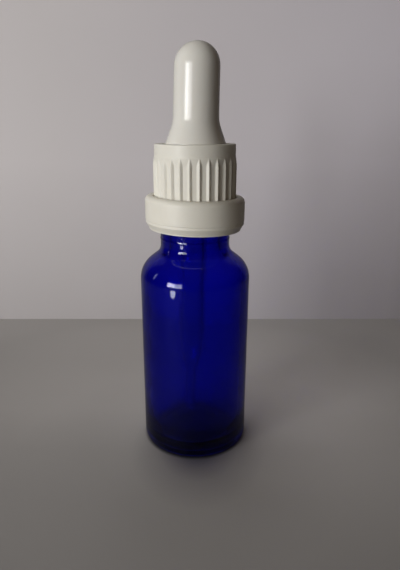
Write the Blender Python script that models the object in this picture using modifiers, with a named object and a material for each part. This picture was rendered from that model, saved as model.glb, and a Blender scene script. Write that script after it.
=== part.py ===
"""Glass dropper bottle of 20 ml: a blown bottle, a rubber teat with a glass pipette,
a ribbed screw collar and the tamper band that stays on the neck when the collar is unscrewed.

Metres, +Z up. The origin is the centre of the foot, on the surface that the bottle stands on.
Every piece is turned about the Z axis, and each moving piece has its origin on that axis.
"""
import math

import bpy

# Clearances
seat_gap = 0.0003           # between two pieces that touch
band_slack = 0.0005         # between the tamper band and the bead, ribs and neck inside it
skirt_lift = 0.0005         # between the collar's lower end and the bead under it

# Bottle
bottle_height = 0.0718
body_radius = 0.0144
body_wall = 0.0020
floor_thickness = 0.0032
floor_crown = 0.0004        # the floor's rise at its middle
heel_radius = 0.0018
inner_heel_radius = 0.0035
foot_width = 0.0016         # the flat ring that the bottle stands on
push_up_depth = 0.0011
push_up_flank = 0.0012
shoulder_radius = 0.0070
shoulder_slope = math.radians(37)
neck_fillet = 0.0022
inner_neck_fillet = 0.0030
mouth_bore_radius = 0.0057
lip_wall = 0.0021           # from the mouth's bore to the thread's root
lip_round = 0.0006
thread_depth = 0.0010       # how far the neck's thread stands out
neck_swell = 0.0011         # how far the bare neck stands out past the thread's root
bead_stand = 0.0016         # how far the bead stands out past the bare neck
bead_drop = 0.0105          # from the mouth down to the bead's underside
bead_land = 0.0010
bead_rise = 0.0012          # the height of the sloped face that the band snaps over
bead_underside = 0.0003
bead_fillet = 0.0004
bare_neck_length = 0.00575  # from the bead's underside down to the neck fillet

# Screw collar
collar_wall = 0.00102       # in the valleys between the ribs
plain_band_inset = 0.00004
rib_relief = 0.00026
rib_count = 28
rib_taper = 0.0020          # the length over which a rib's upper end fades out
rib_end = 0.0002
rib_sink = 0.0011           # how far the ribs reach down inside the band's mouth
plain_band_height = 0.0032
sleeve_height = 0.0064      # the bore above the teat's flange
ledge_width = 0.00135       # the ledge that presses on the teat's flange
collar_edge_round = 0.0004
thread_lead_in = 0.0004

# Tamper band
band_wall = 0.00165
band_height = 0.0083
band_top_round = 0.0013
band_inner_round = 0.0003
band_chamfer_height = 0.0018
band_chamfer_width = 0.0012
band_step = 0.00012
band_lip_thickness = 0.0009
bridge_count = 8
bridge_width = 0.0009
bridge_height = 0.0005
bridge_root = 0.0004        # how far a bridge is buried in the band's wall

# Rubber teat
teat_flange_thickness = 0.0022
teat_reach = 0.0229         # from the collar's top to the teat's top
teat_wall = 0.0016
bulb_taper = 0.00015
bulb_crown = 0.0054
flare_height = 0.0054
flare_spread = 0.00185      # how much wider the teat is at its base than at its bulb
flare_round = 0.0018
pocket_slope = 0.0006       # the height over which the rim's pocket narrows to the bulb's hollow
pipette_grip = 0.0104       # the length of pipette held in the teat

# Glass pipette
pipette_radius = 0.0035
pipette_wall = 0.0010
rim_stand = 0.0006          # how far the rolled rim stands out past the tube
rim_height = 0.0010
rim_round = 0.00025
tip_clearance = 0.0050      # from the bottle's floor up to the tip
tip_radius = 0.0016
tip_bore_radius = 0.0008
tip_round = 0.0004
tip_length = 0.0020
taper_length = 0.0100
taper_round = 0.00012
taper_bend = 0.0010

# Shares
land_share = 0.15           # the part of a rib's wave that its flat land and its flat valley each cut off
rib_fade_shares = (0.0, 0.15, 0.45, 1.0)
chamfer_break_shares = (0.4, 0.55)

# Facets
bottle_steps = 48
band_steps = 48
steps_per_rib = 4
teat_steps = 40
pipette_steps = 28
merge_distance = 0.00001

# Radii that follow from the sizes
inner_body_radius = body_radius - body_wall
thread_root_radius = mouth_bore_radius + lip_wall
thread_radius = thread_root_radius + thread_depth
neck_radius = thread_root_radius + neck_swell
bead_radius = neck_radius + bead_stand
thread_bore_radius = thread_radius + seat_gap
valley_radius = thread_bore_radius + collar_wall
sleeve_radius = thread_bore_radius - ledge_width
teat_base_radius = sleeve_radius - seat_gap
flange_radius = thread_bore_radius - seat_gap
bulb_radius = teat_base_radius - flare_spread
bulb_top_radius = bulb_radius - bulb_taper
hollow_radius = bulb_top_radius - teat_wall
band_bore_radius = max(bead_radius, valley_radius + rib_relief) + band_slack
band_lip_radius = neck_radius + band_slack
band_radius = band_bore_radius + band_wall
rim_radius = pipette_radius + rim_stand

# Heights that follow from the sizes
bead_bottom = bottle_height - bead_drop
bead_top = bead_bottom + bead_underside + bead_land + bead_rise
fillet_height = bead_bottom - bare_neck_length
lip_top = bead_bottom - seat_gap
band_bottom = lip_top - band_lip_thickness
band_top = band_bottom + band_height
flange_bottom = bottle_height + seat_gap
flange_top = flange_bottom + teat_flange_thickness
sleeve_bottom = flange_top + seat_gap
collar_top = sleeve_bottom + sleeve_height
collar_bottom = bead_top + skirt_lift
rib_bottom = max(band_top - rib_sink, collar_bottom + 2 * rib_end)
rib_top = collar_top - plain_band_height
teat_top = collar_top + teat_reach
pipette_bottom = floor_thickness + tip_clearance
pipette_top = flange_bottom + pipette_grip

PARTS = "glass_dropper_bottle"
GUIDES = "guides"


def clear_scene():
    for thing in list(bpy.data.objects):
        bpy.data.objects.remove(thing, do_unlink=True)


def new_collection(name):
    collection = bpy.data.collections.new(name)
    bpy.context.scene.collection.children.link(collection)
    return collection


def material(name, colour, roughness, metallic=0.0, transmission=0.0, ior=1.45):
    made = bpy.data.materials.new(name)
    made.use_nodes = True
    shader = made.node_tree.nodes["Principled BSDF"]
    shader.inputs["Base Color"].default_value = (*colour, 1.0)
    shader.inputs["Roughness"].default_value = roughness
    shader.inputs["Metallic"].default_value = metallic
    shader.inputs["Transmission Weight"].default_value = transmission
    shader.inputs["IOR"].default_value = ior
    made.diffuse_color = (*colour, 1.0)
    return made


def arc(centre, radius, start, end, count):
    """Points (r, z) of a round stretch, between two angles in degrees, ends included."""
    angles = [math.radians(start + (end - start) * i / (count - 1)) for i in range(count)]
    return [(centre[0] + radius * math.cos(a), centre[1] + radius * math.sin(a)) for a in angles]


def profile_object(name, points, closed, collection):
    """An outline in the XZ plane. It runs down its outer side, so the turned faces point out."""
    mesh = bpy.data.meshes.new(name)
    edges = [(i, i + 1) for i in range(len(points) - 1)]
    if closed:
        edges.append((len(points) - 1, 0))
    mesh.from_pydata([(r, 0.0, z) for r, z in points], edges, [])
    outline = bpy.data.objects.new(name, mesh)
    collection.objects.link(outline)
    return outline


def turn(name, points, steps, closed, collection, look):
    """A piece turned from its outline, whose heights start at the piece's own origin."""
    piece = profile_object(name, points, closed, collection)
    screw = piece.modifiers.new("turn", "SCREW")
    screw.steps = steps
    screw.render_steps = steps
    screw.use_merge_vertices = True
    screw.merge_threshold = merge_distance
    screw.use_smooth_shade = True
    piece.data.materials.append(look)
    return piece


def apply_modifiers(piece):
    """The piece's evaluated shape as its own mesh, for steps that work on the turned points."""
    bpy.context.view_layer.update()
    evaluated = piece.evaluated_get(bpy.context.evaluated_depsgraph_get())
    mesh = bpy.data.meshes.new_from_object(evaluated)
    piece.modifiers.clear()
    old = piece.data
    piece.data = mesh
    bpy.data.meshes.remove(old)


def shade(piece, angle=math.radians(35)):
    piece.data.shade_smooth()
    piece.data.set_sharp_from_angle(angle=angle)


def lowered(points, height):
    return [(r, z - height) for r, z in points]


def shoulder_fit(neck, fillet, body, shoulder):
    """The two radii of a shoulder, kept small enough for the room between neck and body."""
    room = body - neck
    needed = (fillet + shoulder) * (1 - math.sin(shoulder_slope))
    scale = min(1.0, room / needed)
    return fillet * scale, shoulder * scale


def shoulder_curve(neck, fillet, body, shoulder, fillet_start, counts):
    """From the neck down: a hollow fillet, the sloped cone, then the shoulder's round."""
    fillet, shoulder = shoulder_fit(neck, fillet, body, shoulder)
    lean = 90 - math.degrees(shoulder_slope)
    hollow = arc((neck + fillet, fillet_start), fillet, 180, 180 + lean, counts[0])
    end_r, end_z = hollow[-1]
    round_start = body - shoulder + shoulder * math.sin(shoulder_slope)
    start_z = end_z - (round_start - end_r) * math.tan(shoulder_slope)
    centre_z = start_z - shoulder * math.cos(shoulder_slope)
    return hollow + arc((body - shoulder, centre_z), shoulder, lean, 0, counts[1])


def inner_fillet_height():
    """Where the bore's fillet starts, so that the sloped glass is one wall thick."""
    fillet, _ = shoulder_fit(neck_radius, neck_fillet, body_radius, shoulder_radius)
    inner, _ = shoulder_fit(mouth_bore_radius, inner_neck_fillet,
                            inner_body_radius, shoulder_radius - body_wall)
    lean_r = math.sin(shoulder_slope)
    lean_z = math.cos(shoulder_slope)
    outer_r = neck_radius + fillet * (1 - lean_r)
    inner_r = mouth_bore_radius + inner * (1 - lean_r)
    outer_z = fillet_height - fillet * lean_z
    inner_z = outer_z - (body_wall - (outer_r - inner_r) * lean_r) / lean_z
    return inner_z + inner * lean_z


def neck_finish():
    """The outside of the neck, from the lip down to the bare neck, thread left plain."""
    lip = arc((thread_root_radius - lip_round, bottle_height - lip_round), lip_round, 90, 0, 4)
    land_top = bead_bottom + bead_underside + bead_land
    return lip + [
        (thread_root_radius, bead_top + bead_fillet),
        (thread_root_radius + bead_fillet, bead_top),
        (bead_radius - bead_fillet, land_top + bead_fillet),
        (bead_radius, land_top),
        (bead_radius, land_top - bead_land),
        (bead_radius - bead_underside, bead_bottom),
        (neck_radius, bead_bottom),
    ]


def bottle_outside():
    shoulder = shoulder_curve(neck_radius, neck_fillet, body_radius, shoulder_radius,
                              fillet_height, (5, 9))
    foot_outer = body_radius - heel_radius
    foot_inner = foot_outer - foot_width
    crown_start = foot_inner - push_up_flank
    heel = arc((foot_outer, heel_radius), heel_radius, 0, -90, 5)
    push_up = [
        (foot_inner, 0.0),
        (crown_start, push_up_depth / 2),
        (crown_start / 2, push_up_depth),
        (0.0, push_up_depth),
    ]
    return neck_finish() + shoulder + heel + push_up


def bottle_inside():
    """The inner surface, from the middle of the floor up to the mouth."""
    floor_radius = inner_body_radius - inner_heel_radius
    middle = [
        (0.0, floor_thickness + floor_crown),
        (floor_radius / 2, floor_thickness + floor_crown / 2),
    ]
    heel = arc((floor_radius, floor_thickness + inner_heel_radius), inner_heel_radius, -90, 0, 6)
    wall = shoulder_curve(mouth_bore_radius, inner_neck_fillet, inner_body_radius,
                          shoulder_radius - body_wall, inner_fillet_height(), (5, 7))
    lip = arc((mouth_bore_radius + lip_round, bottle_height - lip_round), lip_round, 180, 90, 3)
    return middle + heel + wall[::-1] + lip


def make_bottle(collection, look):
    bottle = turn("bottle", bottle_inside() + bottle_outside(), bottle_steps, False, collection, look)
    apply_modifiers(bottle)
    shade(bottle)
    return bottle


def rib_wave(angle):
    """The rib's height round the collar, from 0 in a valley to 1 on a land, both nearly flat."""
    pitch_share = angle / (2 * math.pi) * rib_count + 0.5 / steps_per_rib
    wave = 0.5 - 0.5 * math.cos(2 * math.pi * pitch_share)
    return min(1.0, max(0.0, (wave - land_share) / (1 - 2 * land_share)))


def rib_fade(z):
    """0 where the collar has no rib and 1 where a rib has its full height."""
    if z <= rib_bottom + merge_distance or z >= rib_top:
        return 0.0
    return min(1.0, math.sqrt((rib_top - z) / rib_taper))


def collar_outline():
    """The collar without its ribs: down the outside, then up the thread bore and the sleeve."""
    band_face = valley_radius - plain_band_inset
    edge = arc((band_face - collar_edge_round, collar_top - collar_edge_round),
               collar_edge_round, 90, 0, 4)
    fading = [(valley_radius, rib_top - rib_taper * share) for share in rib_fade_shares]
    return edge + [(band_face, rib_top + rib_end)] + fading + [
        (valley_radius, rib_bottom + rib_end),
        (valley_radius, rib_bottom),
        (valley_radius, collar_bottom + rib_end),
        (valley_radius - rib_end, collar_bottom),
        (thread_bore_radius + thread_lead_in, collar_bottom),
        (thread_bore_radius, collar_bottom + thread_lead_in),
        (thread_bore_radius, sleeve_bottom),
        (sleeve_radius, sleeve_bottom),
        (sleeve_radius, collar_top - collar_edge_round),
        (sleeve_radius + collar_edge_round, collar_top),
    ]


def raise_ribs(collar):
    """Move the collar's outer points out along the rib wave."""
    inside = (valley_radius + thread_bore_radius) / 2
    for point in collar.data.vertices:
        radius = math.hypot(point.co.x, point.co.y)
        if radius < inside:
            continue
        height = rib_relief * rib_fade(point.co.z + collar_bottom)
        grown = 1 + height * rib_wave(math.atan2(point.co.y, point.co.x)) / radius
        point.co.x *= grown
        point.co.y *= grown


def make_collar(collection, look):
    outline = lowered(collar_outline(), collar_bottom)
    collar = turn("collar", outline, rib_count * steps_per_rib, True, collection, look)
    apply_modifiers(collar)
    raise_ribs(collar)
    shade(collar, math.radians(25))
    collar.location = (0.0, 0.0, collar_bottom)
    return collar


def band_outline():
    """Down the outside: a rounded top edge, the wall, a fine step and the lower chamfer."""
    top_round = min(band_top_round, band_wall - band_inner_round)
    top = arc((band_radius - top_round, band_top - top_round), top_round, 90, 0, 6)
    chamfer_top = band_bottom + band_chamfer_height
    foot = band_radius - band_chamfer_width
    break_in, break_down = chamfer_break_shares
    return top + [
        (band_radius, chamfer_top + band_step),
        (band_radius - band_step, chamfer_top),
        (band_radius - band_chamfer_width * break_in, chamfer_top - band_chamfer_height * break_down),
        (foot, band_bottom + band_step),
        (foot - band_step, band_bottom),
        (band_lip_radius, band_bottom),
        (band_lip_radius, lip_top - band_inner_round),
        (band_lip_radius + band_inner_round, lip_top),
        (band_bore_radius, lip_top),
        (band_bore_radius, band_top - band_inner_round),
        (band_bore_radius + band_inner_round, band_top),
    ]


def bridge_block(index, collection):
    """One short bridge that once held the band to the collar, as a block in the band's wall."""
    inner = valley_radius + seat_gap
    outer = band_bore_radius + bridge_root
    middle = (inner + outer) / 2
    height = rib_bottom - seat_gap - bridge_height / 2
    angle = 2 * math.pi * (index + 0.5) / bridge_count
    bpy.ops.mesh.primitive_cube_add(size=1.0)
    block = bpy.context.object
    block.name = f"bridge_{index}"
    block.scale = (outer - inner, bridge_width, bridge_height)
    block.location = (middle * math.cos(angle), middle * math.sin(angle), height)
    block.rotation_euler = (0.0, 0.0, angle)
    for owner in list(block.users_collection):
        owner.objects.unlink(block)
    collection.objects.link(block)
    block.hide_render = True
    block.display_type = "WIRE"
    return block


def make_band(collection, guides, look):
    band = turn("tamper_band", lowered(band_outline(), band_bottom), band_steps, True, collection, look)
    band.location = (0.0, 0.0, band_bottom)
    for index in range(bridge_count):
        join = band.modifiers.new(f"bridge_{index}", "BOOLEAN")
        join.operation = "UNION"
        join.object = bridge_block(index, guides)
    apply_modifiers(band)
    shade(band)
    return band


def crown(radius, height, count):
    """Points (r, z) of a quarter oval over the bulb, from its side up to the axis."""
    base = teat_top - bulb_crown
    angles = [math.pi / 2 * i / count for i in range(count)]
    return [(radius * math.cos(a), base + height * math.sin(a)) for a in angles] + [(0.0, base + height)]


def teat_outside():
    """Down the outside: an oval crown, the slim bulb, the flare, the plug and its flange."""
    lean = math.degrees(math.atan2(flare_spread, flare_height - flare_round))
    bend = arc((bulb_radius + flare_round, collar_top + flare_height), flare_round, 180, 180 + lean, 4)
    return crown(bulb_top_radius, bulb_crown, 8)[::-1] + bend + [
        (teat_base_radius, collar_top),
        (teat_base_radius, flange_top),
        (flange_radius, flange_top),
        (flange_radius, flange_bottom),
    ]


def teat_inside():
    """Up the inside: the pipette's bore, the pocket for its rim, then the bulb's hollow."""
    bore = pipette_radius + seat_gap
    pocket = rim_radius + seat_gap
    pocket_bottom = pipette_top - rim_height - seat_gap
    pocket_top = pipette_top + seat_gap
    return [
        (bore, flange_bottom),
        (bore, pocket_bottom),
        (pocket, pocket_bottom),
        (pocket, pocket_top),
        (hollow_radius, pocket_top + pocket_slope),
    ] + crown(hollow_radius, bulb_crown - teat_wall, 6)


def make_teat(collection, look):
    outline = lowered(teat_outside() + teat_inside(), flange_bottom)
    teat = turn("rubber_teat", outline, teat_steps, False, collection, look)
    apply_modifiers(teat)
    shade(teat)
    teat.location = (0.0, 0.0, flange_bottom)
    return teat


def pipette_outline():
    """Down the outside: the rolled rim, the tube, the drawn taper and the tip, then up the bore."""
    rim_bottom = pipette_top - rim_height
    taper_bottom = pipette_bottom + tip_length
    taper_top = taper_bottom + taper_length
    bore = pipette_radius - pipette_wall
    tip_middle = (tip_radius + tip_bore_radius) / 2
    return [
        (rim_radius - rim_round, pipette_top),
        (rim_radius, pipette_top - rim_round),
        (rim_radius, rim_bottom + rim_round),
        (pipette_radius, rim_bottom),
        (pipette_radius, taper_top + taper_bend),
        (pipette_radius - taper_round, taper_top),
        (tip_radius + taper_round, taper_bottom + taper_bend),
        (tip_radius, taper_bottom),
        (tip_radius, pipette_bottom + tip_round),
        (tip_middle, pipette_bottom),
        (tip_bore_radius, pipette_bottom + tip_round),
        (tip_bore_radius, taper_bottom),
        (bore, taper_top),
        (bore, pipette_top),
    ]


def make_pipette(collection, look):
    outline = lowered(pipette_outline(), pipette_bottom)
    pipette = turn("glass_pipette", outline, pipette_steps, True, collection, look)
    apply_modifiers(pipette)
    shade(pipette)
    pipette.location = (0.0, 0.0, pipette_bottom)
    return pipette


def make_dropper_frame(collection, pieces):
    """An empty at the bottle's mouth that lifts the teat, the pipette and the collar together."""
    frame = bpy.data.objects.new("dropper_frame", None)
    frame.empty_display_size = body_radius
    frame.location = (0.0, 0.0, bottle_height)
    collection.objects.link(frame)
    for piece in pieces:
        piece.parent = frame
        piece.location.z -= bottle_height


def main():
    clear_scene()
    parts = new_collection(PARTS)
    guides = new_collection(GUIDES)
    cobalt = material("cobalt_glass", (0.01, 0.02, 0.36), 0.05, transmission=0.9, ior=1.52)
    clear = material("clear_glass", (0.85, 0.90, 0.92), 0.03, transmission=1.0, ior=1.52)
    rubber = material("white_rubber", (0.76, 0.73, 0.68), 0.28)
    collar_plastic = material("white_plastic", (0.72, 0.70, 0.66), 0.45)
    band_plastic = material("band_plastic", (0.72, 0.70, 0.66), 0.40)
    make_bottle(parts, cobalt)
    make_band(parts, guides, band_plastic)
    collar = make_collar(parts, collar_plastic)
    teat = make_teat(parts, rubber)
    pipette = make_pipette(parts, clear)
    make_dropper_frame(parts, (collar, teat, pipette))
    bpy.context.view_layer.update()


main()
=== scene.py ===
"""The looks of the glass dropper bottle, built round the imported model.

The frame is in metres. The sizes of the pieces are in millimetres here: radii from the bottle's axis
and heights above its foot. Each piece is turned from one outline, which runs down its outer side.
"""

import math

import bpy
import numpy as np
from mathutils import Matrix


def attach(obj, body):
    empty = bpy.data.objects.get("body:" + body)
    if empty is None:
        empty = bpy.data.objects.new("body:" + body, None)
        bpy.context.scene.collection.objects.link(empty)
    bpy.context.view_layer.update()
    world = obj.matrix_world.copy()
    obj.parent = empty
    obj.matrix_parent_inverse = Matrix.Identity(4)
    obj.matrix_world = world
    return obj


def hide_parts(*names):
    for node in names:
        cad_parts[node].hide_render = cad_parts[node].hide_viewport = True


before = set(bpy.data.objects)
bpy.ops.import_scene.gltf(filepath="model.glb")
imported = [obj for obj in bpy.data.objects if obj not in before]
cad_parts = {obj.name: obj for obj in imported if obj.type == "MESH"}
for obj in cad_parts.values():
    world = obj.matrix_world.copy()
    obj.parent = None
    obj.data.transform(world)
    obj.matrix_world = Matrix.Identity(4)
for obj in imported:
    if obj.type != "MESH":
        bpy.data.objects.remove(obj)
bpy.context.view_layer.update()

MM = 0.001
TURN = 2 * math.pi
SHARP_ANGLE = math.radians(38)

# The screw: a ridge has its half widths at its foot and at its crest, and its room is the stretch of
# heights that it may take
THREAD_LEAD = 3.0
THREAD_START = 65.4
THREAD_DEPTH = 1.0
THREAD_RUN_OUT_TURNS = 0.09
NECK_THREAD_TURNS = 1.6
NECK_THREAD_HALVES = (0.78, 0.28)
NECK_THREAD_ROOM = (64.3, 71.3)
COLLAR_THREAD_TURNS = 1.45
COLLAR_THREAD_HALVES = (0.72, 0.26)
COLLAR_THREAD_ROOM = (65.0, 73.6)
ROOT_TOUCH = 0.05
BORE_TOUCH = 0.02
NEAR = 0.001

# Bottle: outer side
BODY = 14.4
NECK = 8.9
BEAD = 10.5
THREAD_ROOT = 7.8
MOUTH = 71.8
BEAD_TOP = 63.95
BEAD_LAND = 62.8
BEAD_BOTTOM = 61.3
MOULD_LINE = 57.6
MOULD_LINE_RELIEF = 0.09
NECK_FOOT = 54.45
NECK_FILLET = 3.0
SHOULDER = 50.31
SHOULDER_ROUND = 7.0
HEEL_ROUND = 1.8
FOOT_RING = 11.0
PUSH_UP = 1.1
PUSH_UP_RIM = 10.4
PUSH_UP_FLAT = 6.5

# Bottle: inner side
INNER_BODY = 12.4
MOUTH_BORE = 6.1
INNER_NECK_FOOT = 54.2
INNER_SHOULDER = 49.31
INNER_FLOOR = 1.55
FLOOR_DOME = 0.9
DOME_EDGE = 5.5
DOME_EDGE_RISE = 0.6
HEEL_SLANT = 1.1
HEEL_SLANT_HEIGHT = 6.5

# Bottle: unevenness of the glass, seams of the mould and stipple of the foot. Every point past the
# radius OUTER_FROM is on the outer side.
OUTER_FROM = 12.7
UNEVEN_WALL = (4.0, 58.0)
UNEVEN_WALL_FADES = (6.0, 8.0)
UNEVEN_FROM = 9.5
UNEVEN_WITHIN = 0.10
UNEVEN_BEYOND = 0.01
UNEVEN_BODY = 0.02
UNEVEN_FLOOR = 0.14
UNEVEN_FLOOR_HEIGHT = 5.0
SEAM_RELIEF = 0.035
SEAM_HALF_WIDTH = 0.45
SEAM_SLOPE = 0.4
SEAMED_NECK = (50.0, 60.8)
STIPPLE_COUNT = 48
STIPPLE_DEPTH = 0.05
STIPPLE_WIDTH = 1.6

# Collar
THREAD_BORE = 9.1
VALLEY = 10.12
SLEEVE = 7.75
COLLAR_BOTTOM = 64.3
COLLAR_TOP = 81.0
LEDGE = 74.6
RIB_COUNT = 28
RIB_COLUMNS = 18
RIB_PHASE_SHARE = 0.45
RIB_BOTTOM = 67.3
RIB_TOP = 78.1
RIB_RELIEF = 0.26
RIB_HALF_WIDTH_SHARE = 0.255
RIB_CREST_ROUNDING = 0.012
RIB_CREST_LEVEL = 1.06
RIB_FLANK = 0.95
RIB_EDGE = 5.0
RIB_FADE = 2.2
RIB_FOOT = 0.25
VALLEY_SINK = 0.21
VALLEY_FADE = 2.4

# Tamper band
BAND = 12.65
BAND_LIP = 9.4
BAND_BORE = 11.0
BAND_MOUTH = 10.58
BAND_BOTTOM = 60.1
BAND_TOP = 68.4
LIP_TOP = 61.0
BAND_STEP = 2.42
BAND_CHAMFER = 1.65
BAND_FOOT_INSET = 0.92
BAND_TILT = 0.025
BRIDGE_COUNT = 8
BRIDGE_HEIGHT = 66.72
BRIDGE_LENGTH = 0.58
BRIDGE_TEAR = 0.22
BRIDGE_HALF_WIDTH = 0.62
BRIDGE_HALF_HEIGHT = 0.42

# Teat and pipette
TEAT_BASE = 7.45
FLANGE = 8.8
FLANGE_BOTTOM = 72.1
FLANGE_TOP = 74.3
BULB = 5.6
BULB_TOP = 5.45
BULB_BOTTOM = COLLAR_TOP + 5.03
HOLLOW = 3.85
TEAT_TOP = 103.9
CROWN = 5.4
HOLLOW_CROWN = 3.8
PIPETTE = 3.5
PIPETTE_BORE = 2.4
PIPETTE_BOTTOM = 8.2
PIPETTE_TOP = 82.5
RIM = 4.1
RIM_POCKET = 1.3
SEAT_GAP = 0.3
TIP = 1.6
TIP_BORE = 0.8
TIP_LENGTH = 11.0
TAPER_TOP = PIPETTE_BOTTOM + 19.0
DROPPER_LEAN = (0.021, FLANGE_TOP)


# Shapes

def smooth(share):
    share = np.clip(share, 0.0, 1.0)
    return share * share * (3 - 2 * share)


def rounded(corners, closed=False, span=9.0):
    """Points along an outline of corners (radius, height, rounding, step). Each corner is rounded to
    its rounding, in arcs of up to span degrees, and the straight stretch after it is cut into steps."""
    count = len(corners)
    places = np.array([c[:2] for c in corners], float)
    points = []
    tangents = []
    for i, corner in enumerate(corners):
        if not closed and i in (0, count - 1):
            tangents.append(0.0)
            continue
        back = places[i - 1] - places[i]
        ahead = places[(i + 1) % count] - places[i]
        cosine = back @ ahead / np.linalg.norm(back) / np.linalg.norm(ahead)
        half_turn = (math.pi - math.acos(max(-1.0, min(1.0, cosine)))) / 2
        tangents.append(corner[2] * math.tan(half_turn))
    for i, corner in enumerate(corners):
        here = places[i]
        tangent = tangents[i]
        next_tangent = tangents[(i + 1) % count]
        if tangent > 0:
            back = places[i - 1] - here
            ahead = places[(i + 1) % count] - here
            back /= np.linalg.norm(back)
            ahead /= np.linalg.norm(ahead)
            middle = back + ahead
            middle /= np.linalg.norm(middle)
            centre = here + middle * math.hypot(tangent, corner[2])
            start = here + back * tangent - centre
            end = here + ahead * tangent - centre
            turn = math.atan2(start[0] * end[1] - start[1] * end[0], start @ end)
            cuts = max(2, math.ceil(abs(math.degrees(turn)) / span))
            for k in range(cuts + 1):
                c, s = math.cos(turn * k / cuts), math.sin(turn * k / cuts)
                points.append((centre[0] + c * start[0] - s * start[1],
                               centre[1] + s * start[0] + c * start[1]))
        else:
            points.append(tuple(here))
        if i == count - 1 and not closed:
            break
        way = places[(i + 1) % count] - here
        length = np.linalg.norm(way)
        way /= length
        free = length - tangent - next_tangent
        cuts = max(1, math.ceil(free / corner[3]))
        for k in range(1, cuts + (1 if next_tangent == 0 else 0)):
            along = tangent + free * k / cuts
            if along < length - 1e-9:
                points.append(tuple(here + way * along))
    return points


def turned(name, points, columns, shift=None, closed=True, lean=(0.0, 0.0)):
    """A piece turned from an outline. shift(r, z, angle) gives each point's new r and z, and lean is
    how far the axis goes to the right for each unit of height, and the height that it starts from."""
    outline = np.array(points, float)
    rows = len(outline)
    angle = np.arange(columns) / columns * TURN
    r = np.repeat(outline[:, :1], columns, 1)
    z = np.repeat(outline[:, 1:], columns, 1)
    a = np.repeat(angle[None, :], rows, 0)
    if shift is not None:
        r, z = shift(r, z, a)
    aside = lean[0] * (z - lean[1])
    grid = np.stack([r * np.cos(a) + aside, r * np.sin(a), z], -1) * MM
    numbers = np.arange(rows * columns).reshape(rows, columns)
    keep = np.ones(rows * columns, bool)
    if not closed:
        for row in (0, rows - 1):
            keep[numbers[row, 1:]] = False
            grid[row, 0, :2] = grid[row, :, :2].mean(0)
            numbers[row, :] = numbers[row, 0]
    new_number = np.cumsum(keep) - 1
    places = grid.reshape(-1, 3)[keep]
    here = new_number[numbers]
    below = np.roll(here, -1, 0) if closed else here[1:]
    here = here if closed else here[:-1]
    quads = np.stack([here, below, np.roll(below, -1, 1), np.roll(here, -1, 1)], -1)
    faces = []
    for quad in quads.reshape(-1, 4).tolist():
        face = list(dict.fromkeys(quad))
        if len(face) > 2:
            faces.append(face)
    mesh = bpy.data.meshes.new(name)
    mesh.from_pydata(places.tolist(), [], faces)
    mesh.validate()
    mesh.shade_smooth()
    mesh.set_sharp_from_angle(angle=SHARP_ANGLE)
    piece = bpy.data.objects.new(name, mesh)
    bpy.context.scene.collection.objects.link(piece)
    return piece


def thread(z, angle, start, turns, halves):
    """The height share of a right-handed thread whose middle starts at the height start."""
    foot, crest = halves
    laps = np.round((z - start) / THREAD_LEAD - angle / TURN)
    along = laps + angle / TURN
    off = np.abs(z - start - THREAD_LEAD * along)
    ends = smooth(along / THREAD_RUN_OUT_TURNS) * smooth((turns - along) / THREAD_RUN_OUT_TURNS)
    return smooth((foot - off) / (foot - crest)) * ends


def around(angle, middle, r):
    """How far a point lies from an angle, along the curve of its radius."""
    return np.abs((angle - middle + math.pi) % TURN - math.pi) * r


def waves(angle, z, seed, count=5, lengths=(9.0, 30.0)):
    """A slow, seamless unevenness from -1 to 1, as moulded glass has."""
    chance = np.random.default_rng(seed)
    total = np.zeros_like(z)
    for _ in range(count):
        lobes = int(chance.integers(1, 6))
        length = chance.uniform(*lengths)
        total += np.cos(lobes * angle + TURN * z / length + chance.uniform(0, TURN))
    return total / count


# Bottle

def neck_thread(r, z, angle):
    low, high = NECK_THREAD_ROOM
    on_root = (np.abs(r - THREAD_ROOT) < ROOT_TOUCH) & (z > low) & (z < high)
    ridge = thread(z, angle, THREAD_START, NECK_THREAD_TURNS, NECK_THREAD_HALVES)
    return np.where(on_root, THREAD_DEPTH * ridge, 0.0)


def uneven_wall(r, z, angle, within):
    """The wall's unevenness: most within the inner wall's radius, little beyond it, and only inwards
    on the body, which fills the model's box."""
    uneven = waves(angle, z, 11)
    low, high = UNEVEN_WALL
    low_fade, high_fade = UNEVEN_WALL_FADES
    height_share = smooth((z - low) / low_fade) * smooth((high - z) / high_fade)
    near_wall = smooth((r - UNEVEN_FROM) / 2.0)
    depth = np.where(within, UNEVEN_WITHIN, UNEVEN_BEYOND)
    moved = np.where(r < BODY, depth * uneven * height_share * near_wall, 0.0)
    return moved - np.where(r >= BODY - NEAR, UNEVEN_BODY * (1 + uneven) * height_share, 0.0)


def mould_seams(r, z, angle):
    """Two upright ridges on the heel, shoulder and neck, where the halves of the mould met. The inner
    side of the shoulder follows them."""
    low, high = SEAMED_NECK
    on_neck = (z > low) & (z < high) & (r > NECK - 0.1)
    seamed = (r > OUTER_FROM) | on_neck
    seam = np.zeros_like(z)
    for middle in (0.0, math.pi):
        away = around(angle, middle, r)
        seam = np.maximum(seam, smooth((SEAM_HALF_WIDTH - away) / SEAM_SLOPE))
    return np.where(seamed & (r < BODY - NEAR), SEAM_RELIEF * seam * smooth((z - 1.0) / 2.0), 0.0)


def uneven_floor(r, z, angle, within):
    top = INNER_FLOOR + UNEVEN_FLOOR_HEIGHT
    on_floor = (z > INNER_FLOOR - 0.1) & (z < top) & within
    fading = smooth(r / 4.0) * smooth((top - z) / 3.0)
    uneven = waves(angle, z * 3 + r, 23, 4, (7.0, 16.0))
    return np.where(on_floor, UNEVEN_FLOOR * uneven * fading, 0.0)


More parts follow.
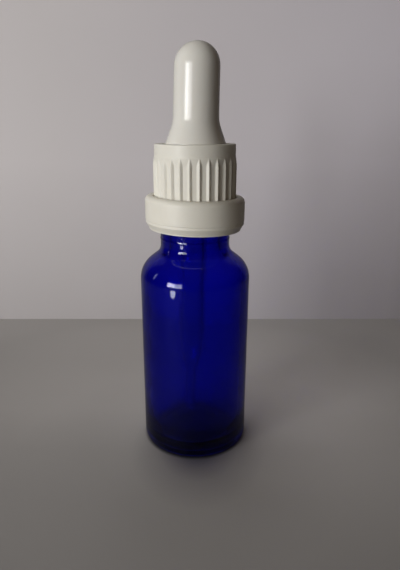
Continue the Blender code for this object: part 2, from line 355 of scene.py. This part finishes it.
def foot_stipple(r, z, angle):
    """Small hollows round the flat ring that the bottle stands on."""
    on_foot = (z < 0.02) & (r > FOOT_RING) & (r < FOOT_RING + STIPPLE_WIDTH)
    round_share = 0.5 - 0.5 * np.cos(STIPPLE_COUNT * angle)
    across_share = np.sin(np.clip((r - FOOT_RING) / STIPPLE_WIDTH, 0, 1) * math.pi)
    return np.where(on_foot, STIPPLE_DEPTH * round_share * across_share, 0.0)


def bottle_shift(r, z, angle):
    within = r < INNER_BODY + 0.05
    new_r = r + neck_thread(r, z, angle) + uneven_wall(r, z, angle, within) + mould_seams(r, z, angle)
    new_r = np.where(r > OUTER_FROM, np.minimum(new_r, BODY), new_r)
    new_z = z + uneven_floor(r, z, angle, within) + foot_stipple(r, z, angle)
    return new_r, new_z


def make_bottle():
    inner = [
        (0.0, INNER_FLOOR + FLOOR_DOME, 0.0, 0.6),
        (DOME_EDGE, INNER_FLOOR + DOME_EDGE_RISE, 6.0, 0.6),
        (INNER_BODY - HEEL_SLANT, INNER_FLOOR, 3.4, 0.8),
        (INNER_BODY, INNER_FLOOR + HEEL_SLANT_HEIGHT, 9.0, 1.6),
        (INNER_BODY, INNER_SHOULDER, 5.0, 0.8),
        (MOUTH_BORE, INNER_NECK_FOOT, 4.5, 1.6),
        (MOUTH_BORE, MOUTH, 0.6, 0.4),
    ]
    outer = [
        (THREAD_ROOT, MOUTH, 0.6, 0.11),
        (THREAD_ROOT, BEAD_TOP, 0.5, 0.5),
        (BEAD, BEAD_LAND, 0.5, 0.5),
        (BEAD, BEAD_BOTTOM, 0.3, 0.5),
        (NECK, BEAD_BOTTOM, 0.3, 1.0),
        (NECK, MOULD_LINE + 0.42, 0.2, 0.3),
        (NECK + MOULD_LINE_RELIEF, MOULD_LINE, 0.2, 0.3),
        (NECK, MOULD_LINE - 0.35, 0.2, 1.0),
        (NECK, NECK_FOOT, NECK_FILLET, 0.8),
        (BODY, SHOULDER, SHOULDER_ROUND, 1.6),
        (BODY, 0.0, HEEL_ROUND, 0.2),
        (FOOT_RING, 0.0, 0.12, 0.3),
        (PUSH_UP_RIM, PUSH_UP - 0.2, 0.2, 0.6),
        (PUSH_UP_FLAT, PUSH_UP, 4.0, 1.3),
        (0.0, PUSH_UP, 0.0, 1.0),
    ]
    outline = rounded(inner + outer, span=6.0)
    return turned("cobalt_bottle", outline, columns=240, shift=bottle_shift, closed=False)


# Collar

def rib_height(z, angle):
    """A narrow rib with a rounded crest between flat valleys. Its upper end sinks and narrows to a
    point."""
    phase = (angle / TURN * RIB_COUNT - RIB_PHASE_SHARE + 0.5) % 1.0 - 0.5
    away = np.sqrt((phase / RIB_HALF_WIDTH_SHARE) ** 2 + RIB_CREST_ROUNDING)
    slope = np.clip((RIB_CREST_LEVEL - away) / RIB_FLANK, 0, 1)
    crest = slope * smooth(slope * RIB_EDGE)
    rise = np.sin(np.clip((RIB_TOP - z) / RIB_FADE, 0, 1) * math.pi / 2)
    foot = smooth((z - RIB_BOTTOM) / RIB_FOOT)
    return np.clip(crest - (1 - rise), 0, 1) * foot


def collar_shift(r, z, angle):
    """The ribs, with the valleys between them sunk, and the thread in the bore."""
    outer = (r > VALLEY - 0.06) & (z > RIB_BOTTOM) & (z < RIB_TOP + 0.01)
    sunk = VALLEY_SINK * smooth((RIB_TOP - z) / VALLEY_FADE) * smooth((z - RIB_BOTTOM) / RIB_FOOT)
    new_r = r + np.where(outer, (RIB_RELIEF + sunk) * rib_height(z, angle) - sunk, 0.0)
    low, high = COLLAR_THREAD_ROOM
    bore = (np.abs(r - THREAD_BORE) < BORE_TOUCH) & (z > low) & (z < high)
    start = THREAD_START + THREAD_LEAD / 2
    ridge = thread(z, angle, start, COLLAR_THREAD_TURNS, COLLAR_THREAD_HALVES)
    return new_r - np.where(bore, THREAD_DEPTH * ridge, 0.0), z


def make_collar():
    corners = [
        (SLEEVE, COLLAR_TOP, 0.35, 0.5),
        (VALLEY - 0.04, COLLAR_TOP, 0.32, 0.5),
        (VALLEY - 0.04, RIB_TOP + 0.1, 0.0, 0.2),
        (VALLEY, RIB_TOP, 0.0, 0.16),
        (VALLEY, RIB_TOP - 2.6, 0.0, 0.9),
        (VALLEY, RIB_BOTTOM + 0.3, 0.0, 0.1),
        (VALLEY, RIB_BOTTOM, 0.0, 0.6),
        (VALLEY, COLLAR_BOTTOM, 0.25, 0.3),
        (THREAD_BORE + 0.35, COLLAR_BOTTOM, 0.1, 0.3),
        (THREAD_BORE, COLLAR_BOTTOM + 0.5, 0.1, 0.125),
        (THREAD_BORE, LEDGE, 0.1, 0.4),
        (SLEEVE, LEDGE, 0.1, 0.6),
    ]
    outline = rounded(corners, closed=True, span=12)
    return turned("ribbed_collar", outline, columns=RIB_COUNT * RIB_COLUMNS, shift=collar_shift)


# Tamper band

def band_shift(r, z, angle):
    """Eight broken bridges on the bore, each torn off at its own length, and the band's tilt."""
    on_bore = np.abs(r - BAND_BORE) < BORE_TOUCH
    tall = smooth((BRIDGE_HALF_HEIGHT - np.abs(z - BRIDGE_HEIGHT)) / 0.2)
    new_r = r.copy()
    chance = np.random.default_rng(5)
    for k in range(BRIDGE_COUNT):
        length = BRIDGE_LENGTH - BRIDGE_TEAR * chance.random()
        away = around(angle, TURN * (k + 0.5) / BRIDGE_COUNT, r)
        wide = smooth((BRIDGE_HALF_WIDTH - away) / 0.25)
        new_r -= np.where(on_bore, length * (wide * tall), 0.0)
    return new_r, z - BAND_TILT * r * np.cos(angle)


def make_band():
    corners = [
        (BAND_BORE, BAND_TOP - 0.9, 0.3, 0.3),
        (BAND_MOUTH, BAND_TOP - 0.4, 0.15, 0.3),
        (BAND_MOUTH, BAND_TOP, 0.22, 0.3),
        (BAND, BAND_TOP, 1.3, 0.8),
        (BAND, BAND_BOTTOM + BAND_STEP, 0.06, 0.2),
        (BAND - 0.12, BAND_BOTTOM + BAND_STEP - 0.14, 0.05, 0.3),
        (BAND - 0.08, BAND_BOTTOM + BAND_CHAMFER, 0.12, 0.3),
        (BAND - BAND_FOOT_INSET, BAND_BOTTOM + 0.25, 0.08, 0.3),
        (BAND - BAND_FOOT_INSET, BAND_BOTTOM, 0.08, 0.4),
        (BAND_LIP, BAND_BOTTOM, 0.15, 0.3),
        (BAND_LIP, LIP_TOP, 0.3, 0.4),
        (BAND_BORE, LIP_TOP, 0.25, 0.16),
    ]
    outline = rounded(corners, closed=True, span=10)
    return turned("tamper_ring", outline, columns=288, shift=band_shift)


# Teat

def crown(radius, base, height, count):
    """A quarter oval from the middle of a bulb's top down to its side."""
    quarter = [math.pi / 2 * k / count for k in range(1, count + 1)]
    sides = [(radius * math.sin(a), base + height * math.cos(a)) for a in quarter]
    return [(0.0, base + height)] + sides


def make_teat():
    crown_base = TEAT_TOP - CROWN
    side = rounded([
        (BULB_TOP, crown_base, 0.0, 1.0),
        (BULB, BULB_BOTTOM, 7.0, 0.6),
        (TEAT_BASE, COLLAR_TOP + 0.1, 0.15, 0.4),
        (TEAT_BASE, FLANGE_TOP, 0.12, 0.4),
        (FLANGE, FLANGE_TOP, 0.25, 0.4),
        (FLANGE, FLANGE_BOTTOM, 0.25, 0.4),
        (PIPETTE + SEAT_GAP, FLANGE_BOTTOM, 0.2, 0.8),
        (PIPETTE + SEAT_GAP, PIPETTE_TOP - RIM_POCKET, 0.1, 0.3),
        (RIM + SEAT_GAP, PIPETTE_TOP - RIM_POCKET, 0.1, 0.3),
        (RIM + SEAT_GAP, PIPETTE_TOP + SEAT_GAP, 0.2, 0.3),
        (HOLLOW, PIPETTE_TOP + 0.9, 0.4, 1.0),
        (HOLLOW, crown_base, 0.0, 1.0),
    ])
    outside = crown(BULB_TOP, crown_base, CROWN, 18)
    hollow = crown(HOLLOW, crown_base, HOLLOW_CROWN, 12)
    points = outside[:-1] + side[:-1] + hollow[::-1]
    return turned("rubber_bulb", points, columns=160, closed=False, lean=DROPPER_LEAN)


# Pipette

def make_pipette():
    corners = [
        (PIPETTE_BORE, PIPETTE_TOP, 0.3, 0.3),
        (RIM, PIPETTE_TOP, 0.4, 0.3),
        (RIM, PIPETTE_TOP - 1.0, 0.4, 0.3),
        (PIPETTE, PIPETTE_TOP - 1.15, 0.2, 2.0),
        (PIPETTE, TAPER_TOP, 14.0, 0.8),
        (TIP, PIPETTE_BOTTOM + TIP_LENGTH, 14.0, 0.8),
        (TIP, PIPETTE_BOTTOM, 0.35, 0.2),
        (TIP_BORE, PIPETTE_BOTTOM, 0.3, 0.4),
        (TIP_BORE, PIPETTE_BOTTOM + TIP_LENGTH, 12.0, 0.8),
        (PIPETTE_BORE, TAPER_TOP - 0.2, 12.0, 2.0),
    ]
    outline = rounded(corners, closed=True)
    return turned("clear_pipette", outline, columns=96, lean=DROPPER_LEAN)


# Nodes

def new_material(name):
    made = bpy.data.materials.new(name)
    made.use_nodes = True
    tree = made.node_tree
    return made, tree, tree.nodes["Principled BSDF"]


def filled(tree, node, values):
    """Links a node's first inputs to sockets, or sets those that are given as constants."""
    for value, socket in zip(values, node.inputs):
        if isinstance(value, bpy.types.NodeSocket):
            tree.links.new(value, socket)
        else:
            socket.default_value = value


def maths(tree, operation, *values):
    node = tree.nodes.new("ShaderNodeMath")
    node.operation = operation
    filled(tree, node, values)
    return node.outputs["Value"]


def vector_maths(tree, operation, *values, output="Vector"):
    node = tree.nodes.new("ShaderNodeVectorMath")
    node.operation = operation
    filled(tree, node, values)
    return node.outputs[output]


def coordinate(tree, kind, letter):
    """One coordinate of each place, in the piece (Object) or in the world's sphere (Generated)."""
    place = tree.nodes.new("ShaderNodeTexCoord")
    split = tree.nodes.new("ShaderNodeSeparateXYZ")
    tree.links.new(place.outputs[kind], split.inputs["Vector"])
    return split.outputs[letter]


def spot_distance(tree, spot):
    """The level distance from a spot, which is its centre and how much both directions count."""
    centre, stretch = spot
    place = tree.nodes.new("ShaderNodeTexCoord").outputs["Object"]
    back = (-centre[0] * stretch[0], -centre[1] * stretch[1], 0.0)
    level = vector_maths(tree, "MULTIPLY_ADD", place, (*stretch, 0.0), back)
    return vector_maths(tree, "LENGTH", level, output="Value")


def noise(tree, scale, detail=3.0, roughness=0.5):
    """Noise by the place in the piece, in waves per metre."""
    place = tree.nodes.new("ShaderNodeTexCoord")
    made = tree.nodes.new("ShaderNodeTexNoise")
    made.inputs["Scale"].default_value = scale
    made.inputs["Detail"].default_value = detail
    made.inputs["Roughness"].default_value = roughness
    tree.links.new(place.outputs["Object"], made.inputs["Vector"])
    return made.outputs["Fac"]


def ranged(tree, source, low, high, start=0.3, end=0.7):
    """A value that goes from low to high as its source goes from start to end."""
    made = tree.nodes.new("ShaderNodeMapRange")
    made.inputs["From Min"].default_value = start
    made.inputs["From Max"].default_value = end
    made.inputs["To Min"].default_value = low
    made.inputs["To Max"].default_value = high
    tree.links.new(source, made.inputs["Value"])
    return made.outputs["Result"]


def colours(tree, source, stops):
    """A colour ramp of stops (place, colour)."""
    ramp = tree.nodes.new("ShaderNodeValToRGB")
    elements = ramp.color_ramp.elements
    while len(elements) < len(stops):
        elements.new(0.5)
    for element, (place, colour) in zip(elements, stops):
        element.position = place
        element.color = (*colour, 1.0)
    tree.links.new(source, ramp.inputs["Fac"])
    return ramp.outputs["Color"]


def greys(*stops):
    return [(place, (tone, tone, tone)) for place, tone in stops]


def bumped(tree, shader, layers):
    """Bump from several noises, each (source, distance in metres, strength)."""
    normal = None
    for source, distance, strength in layers:
        bump = tree.nodes.new("ShaderNodeBump")
        bump.inputs["Distance"].default_value = distance
        bump.inputs["Strength"].default_value = strength
        tree.links.new(source, bump.inputs["Height"])
        if normal is not None:
            tree.links.new(normal, bump.inputs["Normal"])
        normal = bump.outputs["Normal"]
    tree.links.new(normal, shader.inputs["Normal"])


# Materials, whose places are in metres

AXIS = ((0.0, 0.0), (1.0, 1.0))
MIDDLE_OF_BODY_WALL = 0.0134
MIDDLE_OF_NECK_WALL = 0.0075
SHOULDER_SPAN = (0.0487, 0.0558)
WALL_EDGE = 0.0002


def inside_share(tree):
    """1 on the bottle's inner wall and 0 on its outer one, parted by a surface between them."""
    height = coordinate(tree, "Object", "Z")
    limit = ranged(tree, height, MIDDLE_OF_BODY_WALL, MIDDLE_OF_NECK_WALL, *SHOULDER_SPAN)
    past = maths(tree, "SUBTRACT", spot_distance(tree, AXIS), limit)
    return ranged(tree, past, 1.0, 0.0, -WALL_EDGE, WALL_EDGE)


def glass(name, tints, absorbed, density, ior, smudge, gloss=(1.0, 1.0, 1.0), inner_roughness=None):
    """Glass with a slightly cloudy tint, faint smudges and colour that deepens with its thickness."""
    made, tree, shader = new_material(name)
    shader.inputs["Transmission Weight"].default_value = 1.0
    shader.inputs["IOR"].default_value = ior
    shader.inputs["Specular Tint"].default_value = (*gloss, 1.0)
    tint = colours(tree, noise(tree, 90.0, 4.0), [(0.3, tints[0]), (0.7, tints[1])])
    tree.links.new(tint, shader.inputs["Base Color"])
    rough = ranged(tree, noise(tree, 240.0, 5.0), *smudge)
    if inner_roughness is not None:
        rough = maths(tree, "MULTIPLY_ADD", inside_share(tree), inner_roughness, rough)
    tree.links.new(rough, shader.inputs["Roughness"])
    bumped(tree, shader, [
        (noise(tree, 70.0, 2.0), 0.0002, 0.25),
        (noise(tree, 900.0, 2.0), 0.00001, 0.2),
    ])
    volume = tree.nodes.new("ShaderNodeVolumeAbsorption")
    volume.inputs["Color"].default_value = (*absorbed, 1.0)
    volume.inputs["Density"].default_value = density
    tree.links.new(volume.outputs["Volume"], tree.nodes["Material Output"].inputs["Volume"])
    return made


def moulded(name, darker, lighter, roughness, grain, subsurface):
    """Moulded plastic or rubber: slow clouds of colour, a fine grain and a little light inside."""
    made, tree, shader = new_material(name)
    shader.inputs["IOR"].default_value = 1.49
    shader.inputs["Subsurface Weight"].default_value = subsurface
    shader.inputs["Subsurface Radius"].default_value = (1.0, 0.85, 0.65)
    shader.inputs["Subsurface Scale"].default_value = 0.0008
    cloud = noise(tree, 120.0, 5.0, 0.6)
    tree.links.new(colours(tree, cloud, [(0.25, darker), (0.75, lighter)]), shader.inputs["Base Color"])
    tree.links.new(ranged(tree, noise(tree, 700.0, 4.0), *roughness), shader.inputs["Roughness"])
    bumped(tree, shader, [
        (noise(tree, 160.0, 2.0), 0.00012, grain[0]),
        (noise(tree, 5200.0, 3.0), 0.00002, grain[1]),
    ])
    return made


# Stage: a table and a wall, in metres

WHITE = (1.0, 1.0, 1.0)
# Share of the stage's tone that glossy rays see: a painted darkening of its reflections
REFLECTION_DIMMING_SHARE = 0.4
CLOUD_SHADE = 0.96

TABLE_REACH = 0.55
TABLE_COLOUR = (0.722, 0.694, 0.672)
WALL_HALF_WIDTH = 0.17
WALL_BACK = 0.086
WALL_HEIGHT = 0.24
WALL_COLOUR = (0.695, 0.66, 0.67)

# Centre and stretch of a painted soft shadow on the table in front of the bottle's foot
PAINTED_FRONT_SHADOW = ((0.00077, -0.009), (1.3, 1.0))
# Centre of painted light beside the bottle, which lightens its cast shadow on the table
PAINTED_LIGHT_BESIDE = ((0.034, 0.010), (1.0, 1.0))
# Centre of a painted pool of light on the table round the bottle, darker further from it
PAINTED_LIGHT_POOL = ((-0.006, -0.012), (1.0, 1.0))

# Each painted ramp of light or shade is (letter or spot, from, to, stops), and each end (letter or spot,
# from, to)
TABLE_PAINTED_LIGHT_AND_SHADE = [
    # Painted fall of light: the table darkens from the wall towards the camera
    ("Y", 0.09, -0.10, greys((0.0, 1.0), (0.1, 0.98), (0.25, 0.86), (0.42, 0.81), (0.53, 0.67),
                             (0.63, 0.61), (1.0, 0.49))),
    (PAINTED_LIGHT_POOL, 0.045, 0.10, greys((0.0, 1.0), (1.0, 0.74))),
    (PAINTED_LIGHT_BESIDE, 0.015, 0.065, greys((0.0, 1.0), (1.0, 0.83))),
    # Painted contact shadow under the bottle: nearly black within the foot, clearing just past its side
    (AXIS, 0.0136, 0.0148, [(0.0, (0.05, 0.05, 0.06)), (1.0, WHITE)]),
    # Painted shadow in front of the foot, darkest and bluish near it
    (PAINTED_FRONT_SHADOW, 0.005, 0.024, [
        (0.05, (0.30, 0.30, 0.38)),
        (0.11, (0.37, 0.37, 0.46)),
        (0.17, (0.46, 0.455, 0.54)),
        (0.24, (0.545, 0.54, 0.61)),
        (0.48, (0.79, 0.79, 0.82)),
        (1.0, WHITE),
    ]),
]
TABLE_ENDS = [(AXIS, 0.20, 0.50)]
WALL_PAINTED_SHADE = [
    # Painted shade: the wall darkens towards the table
    ("Z", 0.0, 0.07, greys((0.0, 0.70), (1.0, 1.0))),
    # A faint cool tint painted towards the wall's right, where it lies in shade
    ("X", -0.06, 0.07, [(0.0, WHITE), (1.0, (0.995, 0.995, 1.06))]),
]
WALL_ENDS = [("X", 0.088, 0.16), ("Z", 0.14, 0.23)]


def measured(tree, by):
    """The coordinate that a letter names, or the distance from a spot."""
    return coordinate(tree, "Object", by) if isinstance(by, str) else spot_distance(tree, by)


def stage_paint(name, colour, painted_shading, ends, one_sided):
    """Matt paint whose tone follows its painted light and shade, is dimmed where glossy rays see it,
    and dissolves over its ends. One-sided paint can't be seen from behind and lets lamps shine through."""
    made, tree, shader = new_material(name)
    shader.inputs["Roughness"].default_value = 0.75
    darker = tuple(c * CLOUD_SHADE for c in colour)
    paint = colours(tree, noise(tree, 14.0, 4.0), [(0.3, darker), (0.7, colour)])
    for by, start, end, stops in painted_shading:
        tone = colours(tree, ranged(tree, measured(tree, by), 0.0, 1.0, start, end), stops)
        paint = vector_maths(tree, "MULTIPLY", paint, tone)
    path = tree.nodes.new("ShaderNodeLightPath").outputs
    # Glossy reflections see the paint dimmed, a painted darkening of the stage's reflections
    reflected = maths(tree, "SUBTRACT", path["Is Glossy Ray"], path["Is Transmission Ray"])
    share = ranged(tree, reflected, 1.0, REFLECTION_DIMMING_SHARE, 0.0, 1.0)
    paint = vector_maths(tree, "MULTIPLY", paint, share)
    tree.links.new(paint, shader.inputs["Base Color"])
    bumped(tree, shader, [(noise(tree, 1500.0, 3.0), 0.0001, 0.15)])

    clear_shares = [ranged(tree, maths(tree, "ABSOLUTE", measured(tree, by)), 0.0, 1.0, start, end)
                    for by, start, end in ends]
    if one_sided:
        side = tree.nodes.new("ShaderNodeNewGeometry")
        clear_shares += [side.outputs["Backfacing"], path["Is Shadow Ray"]]
    gone = clear_shares[0]
    for share in clear_shares[1:]:
        gone = maths(tree, "MAXIMUM", gone, share)
    clear = tree.nodes.new("ShaderNodeBsdfTransparent")
    mix = tree.nodes.new("ShaderNodeMixShader")
    filled(tree, mix, (gone, shader.outputs["BSDF"], clear.outputs["BSDF"]))
    tree.links.new(mix.outputs["Shader"], tree.nodes["Material Output"].inputs["Surface"])
    return made


def stage_plane(name, corners, paint):
    mesh = bpy.data.meshes.new(name)
    mesh.from_pydata(corners, [], [(0, 1, 2, 3)])
    mesh.materials.append(paint)
    plane = bpy.data.objects.new(name, mesh)
    bpy.context.scene.collection.objects.link(plane)


def make_stage():
    reach = TABLE_REACH
    stage_plane("table", [(-reach, -reach, 0), (reach, -reach, 0), (reach, reach, 0), (-reach, reach, 0)],
                stage_paint("table_paint", TABLE_COLOUR, TABLE_PAINTED_LIGHT_AND_SHADE, TABLE_ENDS, one_sided=False))
    left, right, back, top = -WALL_HALF_WIDTH, WALL_HALF_WIDTH, WALL_BACK, WALL_HEIGHT
    stage_plane("wall", [(left, back, 0), (right, back, 0), (right, back, top), (left, back, top)],
                stage_paint("wall_paint", WALL_COLOUR, WALL_PAINTED_SHADE, WALL_ENDS, one_sided=True))


# Light

DAYLIGHT = (1.0, 0.995, 0.985)
PATCH_AZIMUTH = -44.5
ROOM_LOW = (0.013, 0.007, 0.003)
ROOM_HIGH = (0.042, 0.026, 0.014)
PALE_ROOM = (0.38, 0.36, 0.365)


def area_light(name, azimuth, elevation, distance, size, power, colour, aim):
    """A soft light, by its direction in degrees from the height aim on the bottle's axis: azimuth 0
    is the camera's side, and less than 0 is to its left."""
    a, e = math.radians(azimuth), math.radians(elevation)
    out = (math.sin(a) * math.cos(e), -math.cos(a) * math.cos(e), math.sin(e))
    data = bpy.data.lights.new(name, "AREA")
    data.shape = "RECTANGLE"
    data.size, data.size_y = size
    data.energy = power
    data.color = colour
    lamp = bpy.data.objects.new(name, data)
    bpy.context.scene.collection.objects.link(lamp)
    lamp.location = (out[0] * distance, out[1] * distance, aim + out[2] * distance)
    lamp.rotation_euler = (math.pi / 2 - e, 0.0, a)
    lamp.visible_camera = False
    return lamp


def make_lamps():
    """Two window lamps, three that light without a highlight, and two that only make one."""
    area_light("window_left", -49.7, 5.5, 0.9, (0.25, 0.27), 3.4, DAYLIGHT, 0.085)
    area_light("window_right", -33.8, 5.5, 0.9, (0.245, 0.27), 1.65, DAYLIGHT, 0.085)
    side = area_light("side", -80, 24, 0.8, (0.7, 0.5), 1.35, (1.0, 0.985, 0.955), 0.06)
    front = area_light("front", -16, 14, 0.9, (0.5, 0.5), 0.5, (1.0, 0.93, 0.82), 0.06)
    sky = area_light("sky", -158, 52, 0.8, (0.7, 0.7), 1.25, (0.97, 0.98, 1.0), 0.03)
    for lamp in (side, front, sky):
        lamp.visible_glossy = False
        lamp.visible_transmission = False
    patch = area_light("patch", PATCH_AZIMUTH, 0, 0.205, (0.044, 0.13), 0.14, (0.95, 0.97, 1.0), 0.0008)
    patch.data.shape = "ELLIPSE"
    patch.rotation_euler = (math.pi, 0.0, math.radians(PATCH_AZIMUTH))
    slit = area_light("slit", -95, 17, 0.5, (0.015, 0.17), 0.05, (0.9, 0.94, 1.0), 0.05)
    for lamp in (patch, slit):
        lamp.visible_diffuse = False
        lamp.visible_transmission = False


def make_world():
    """A dim warm room, which looks pale where the camera sees it straight or through clear glass."""
    world = bpy.data.worlds.new("room")
    bpy.context.scene.world = world
    world.use_nodes = True
    tree = world.node_tree
    room = tree.nodes["Background"]
    room.inputs["Strength"].default_value = 1.0
    height = ranged(tree, coordinate(tree, "Generated", "Z"), 0.0, 1.0, 0.1, 0.9)
    tree.links.new(colours(tree, height, [(0.0, ROOM_LOW), (1.0, ROOM_HIGH)]), room.inputs["Color"])
    pale = tree.nodes.new("ShaderNodeBackground")
    pale.inputs["Color"].default_value = (*PALE_ROOM, 1.0)
    path = tree.nodes.new("ShaderNodeLightPath").outputs
    seen = maths(tree, "MAXIMUM", path["Is Camera Ray"], path["Is Transmission Ray"])
    bounces = maths(tree, "ADD", path["Diffuse Depth"], path["Glossy Depth"])
    straight = maths(tree, "LESS_THAN", bounces, 1.0)
    mix = tree.nodes.new("ShaderNodeMixShader")
    direct = maths(tree, "MULTIPLY", seen, straight)
    filled(tree, mix, (direct, room.outputs["Background"], pale.outputs["Background"]))
    tree.links.new(mix.outputs["Shader"], tree.nodes["World Output"].inputs["Surface"])


# Camera

CAMERA_PLACE = (0.0, -0.1245, 0.0849)
CAMERA_TILT = math.radians(72.02)
CAMERA_LENS = 30.78
CAMERA_SHIFT = 0.0088


def make_camera():
    data = bpy.data.cameras.new("camera")
    data.sensor_width = 36.0
    data.lens = CAMERA_LENS
    data.shift_x = CAMERA_SHIFT
    data.clip_start = 0.005
    data.clip_end = 20.0
    camera = bpy.data.objects.new("camera", data)
    bpy.context.scene.collection.objects.link(camera)
    camera.location = CAMERA_PLACE
    camera.rotation_euler = (CAMERA_TILT, 0.0, 0.0)
    bpy.context.scene.camera = camera


# Making

def dress(piece, material, body, node):
    piece.data.materials.append(material)
    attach(piece, body)
    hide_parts(node)


make_camera()
make_stage()
make_lamps()
make_world()

cobalt = glass("cobalt_glass", tints=((0.26, 0.37, 0.98), (0.30, 0.41, 1.0)),
               absorbed=(0.0, 0.06, 0.872), density=1000.0, ior=1.46, smudge=(0.012, 0.04),
               gloss=(0.85, 0.87, 0.95), inner_roughness=0.22)
clear = glass("clear_glass", tints=((0.95, 0.97, 0.965), (0.98, 0.99, 0.985)),
              absorbed=(0.75, 0.95, 0.9), density=12.0, ior=1.51, smudge=(0.03, 0.07))
collar_plastic = moulded("collar_plastic", darker=(0.765, 0.745, 0.67), lighter=(0.795, 0.775, 0.70),
                         roughness=(0.40, 0.52), grain=(0.12, 0.22), subsurface=0.12)
band_plastic = moulded("band_plastic", darker=(0.765, 0.74, 0.66), lighter=(0.795, 0.77, 0.69),
                       roughness=(0.38, 0.50), grain=(0.12, 0.20), subsurface=0.12)
rubber = moulded("white_rubber", darker=(0.745, 0.73, 0.68), lighter=(0.775, 0.76, 0.71),
                 roughness=(0.19, 0.23), grain=(0.03, 0.01), subsurface=0.15)

dress(make_bottle(), cobalt, "bottle", "bottle")
dress(make_collar(), collar_plastic, "collar", "collar")
dress(make_band(), band_plastic, "tamper_band", "tamper_band")
dress(make_teat(), rubber, "dropper", "rubber_teat")
dress(make_pipette(), clear, "dropper", "glass_pipette")

bpy.context.scene.view_settings.view_transform = "Standard"
bpy.context.view_layer.update()
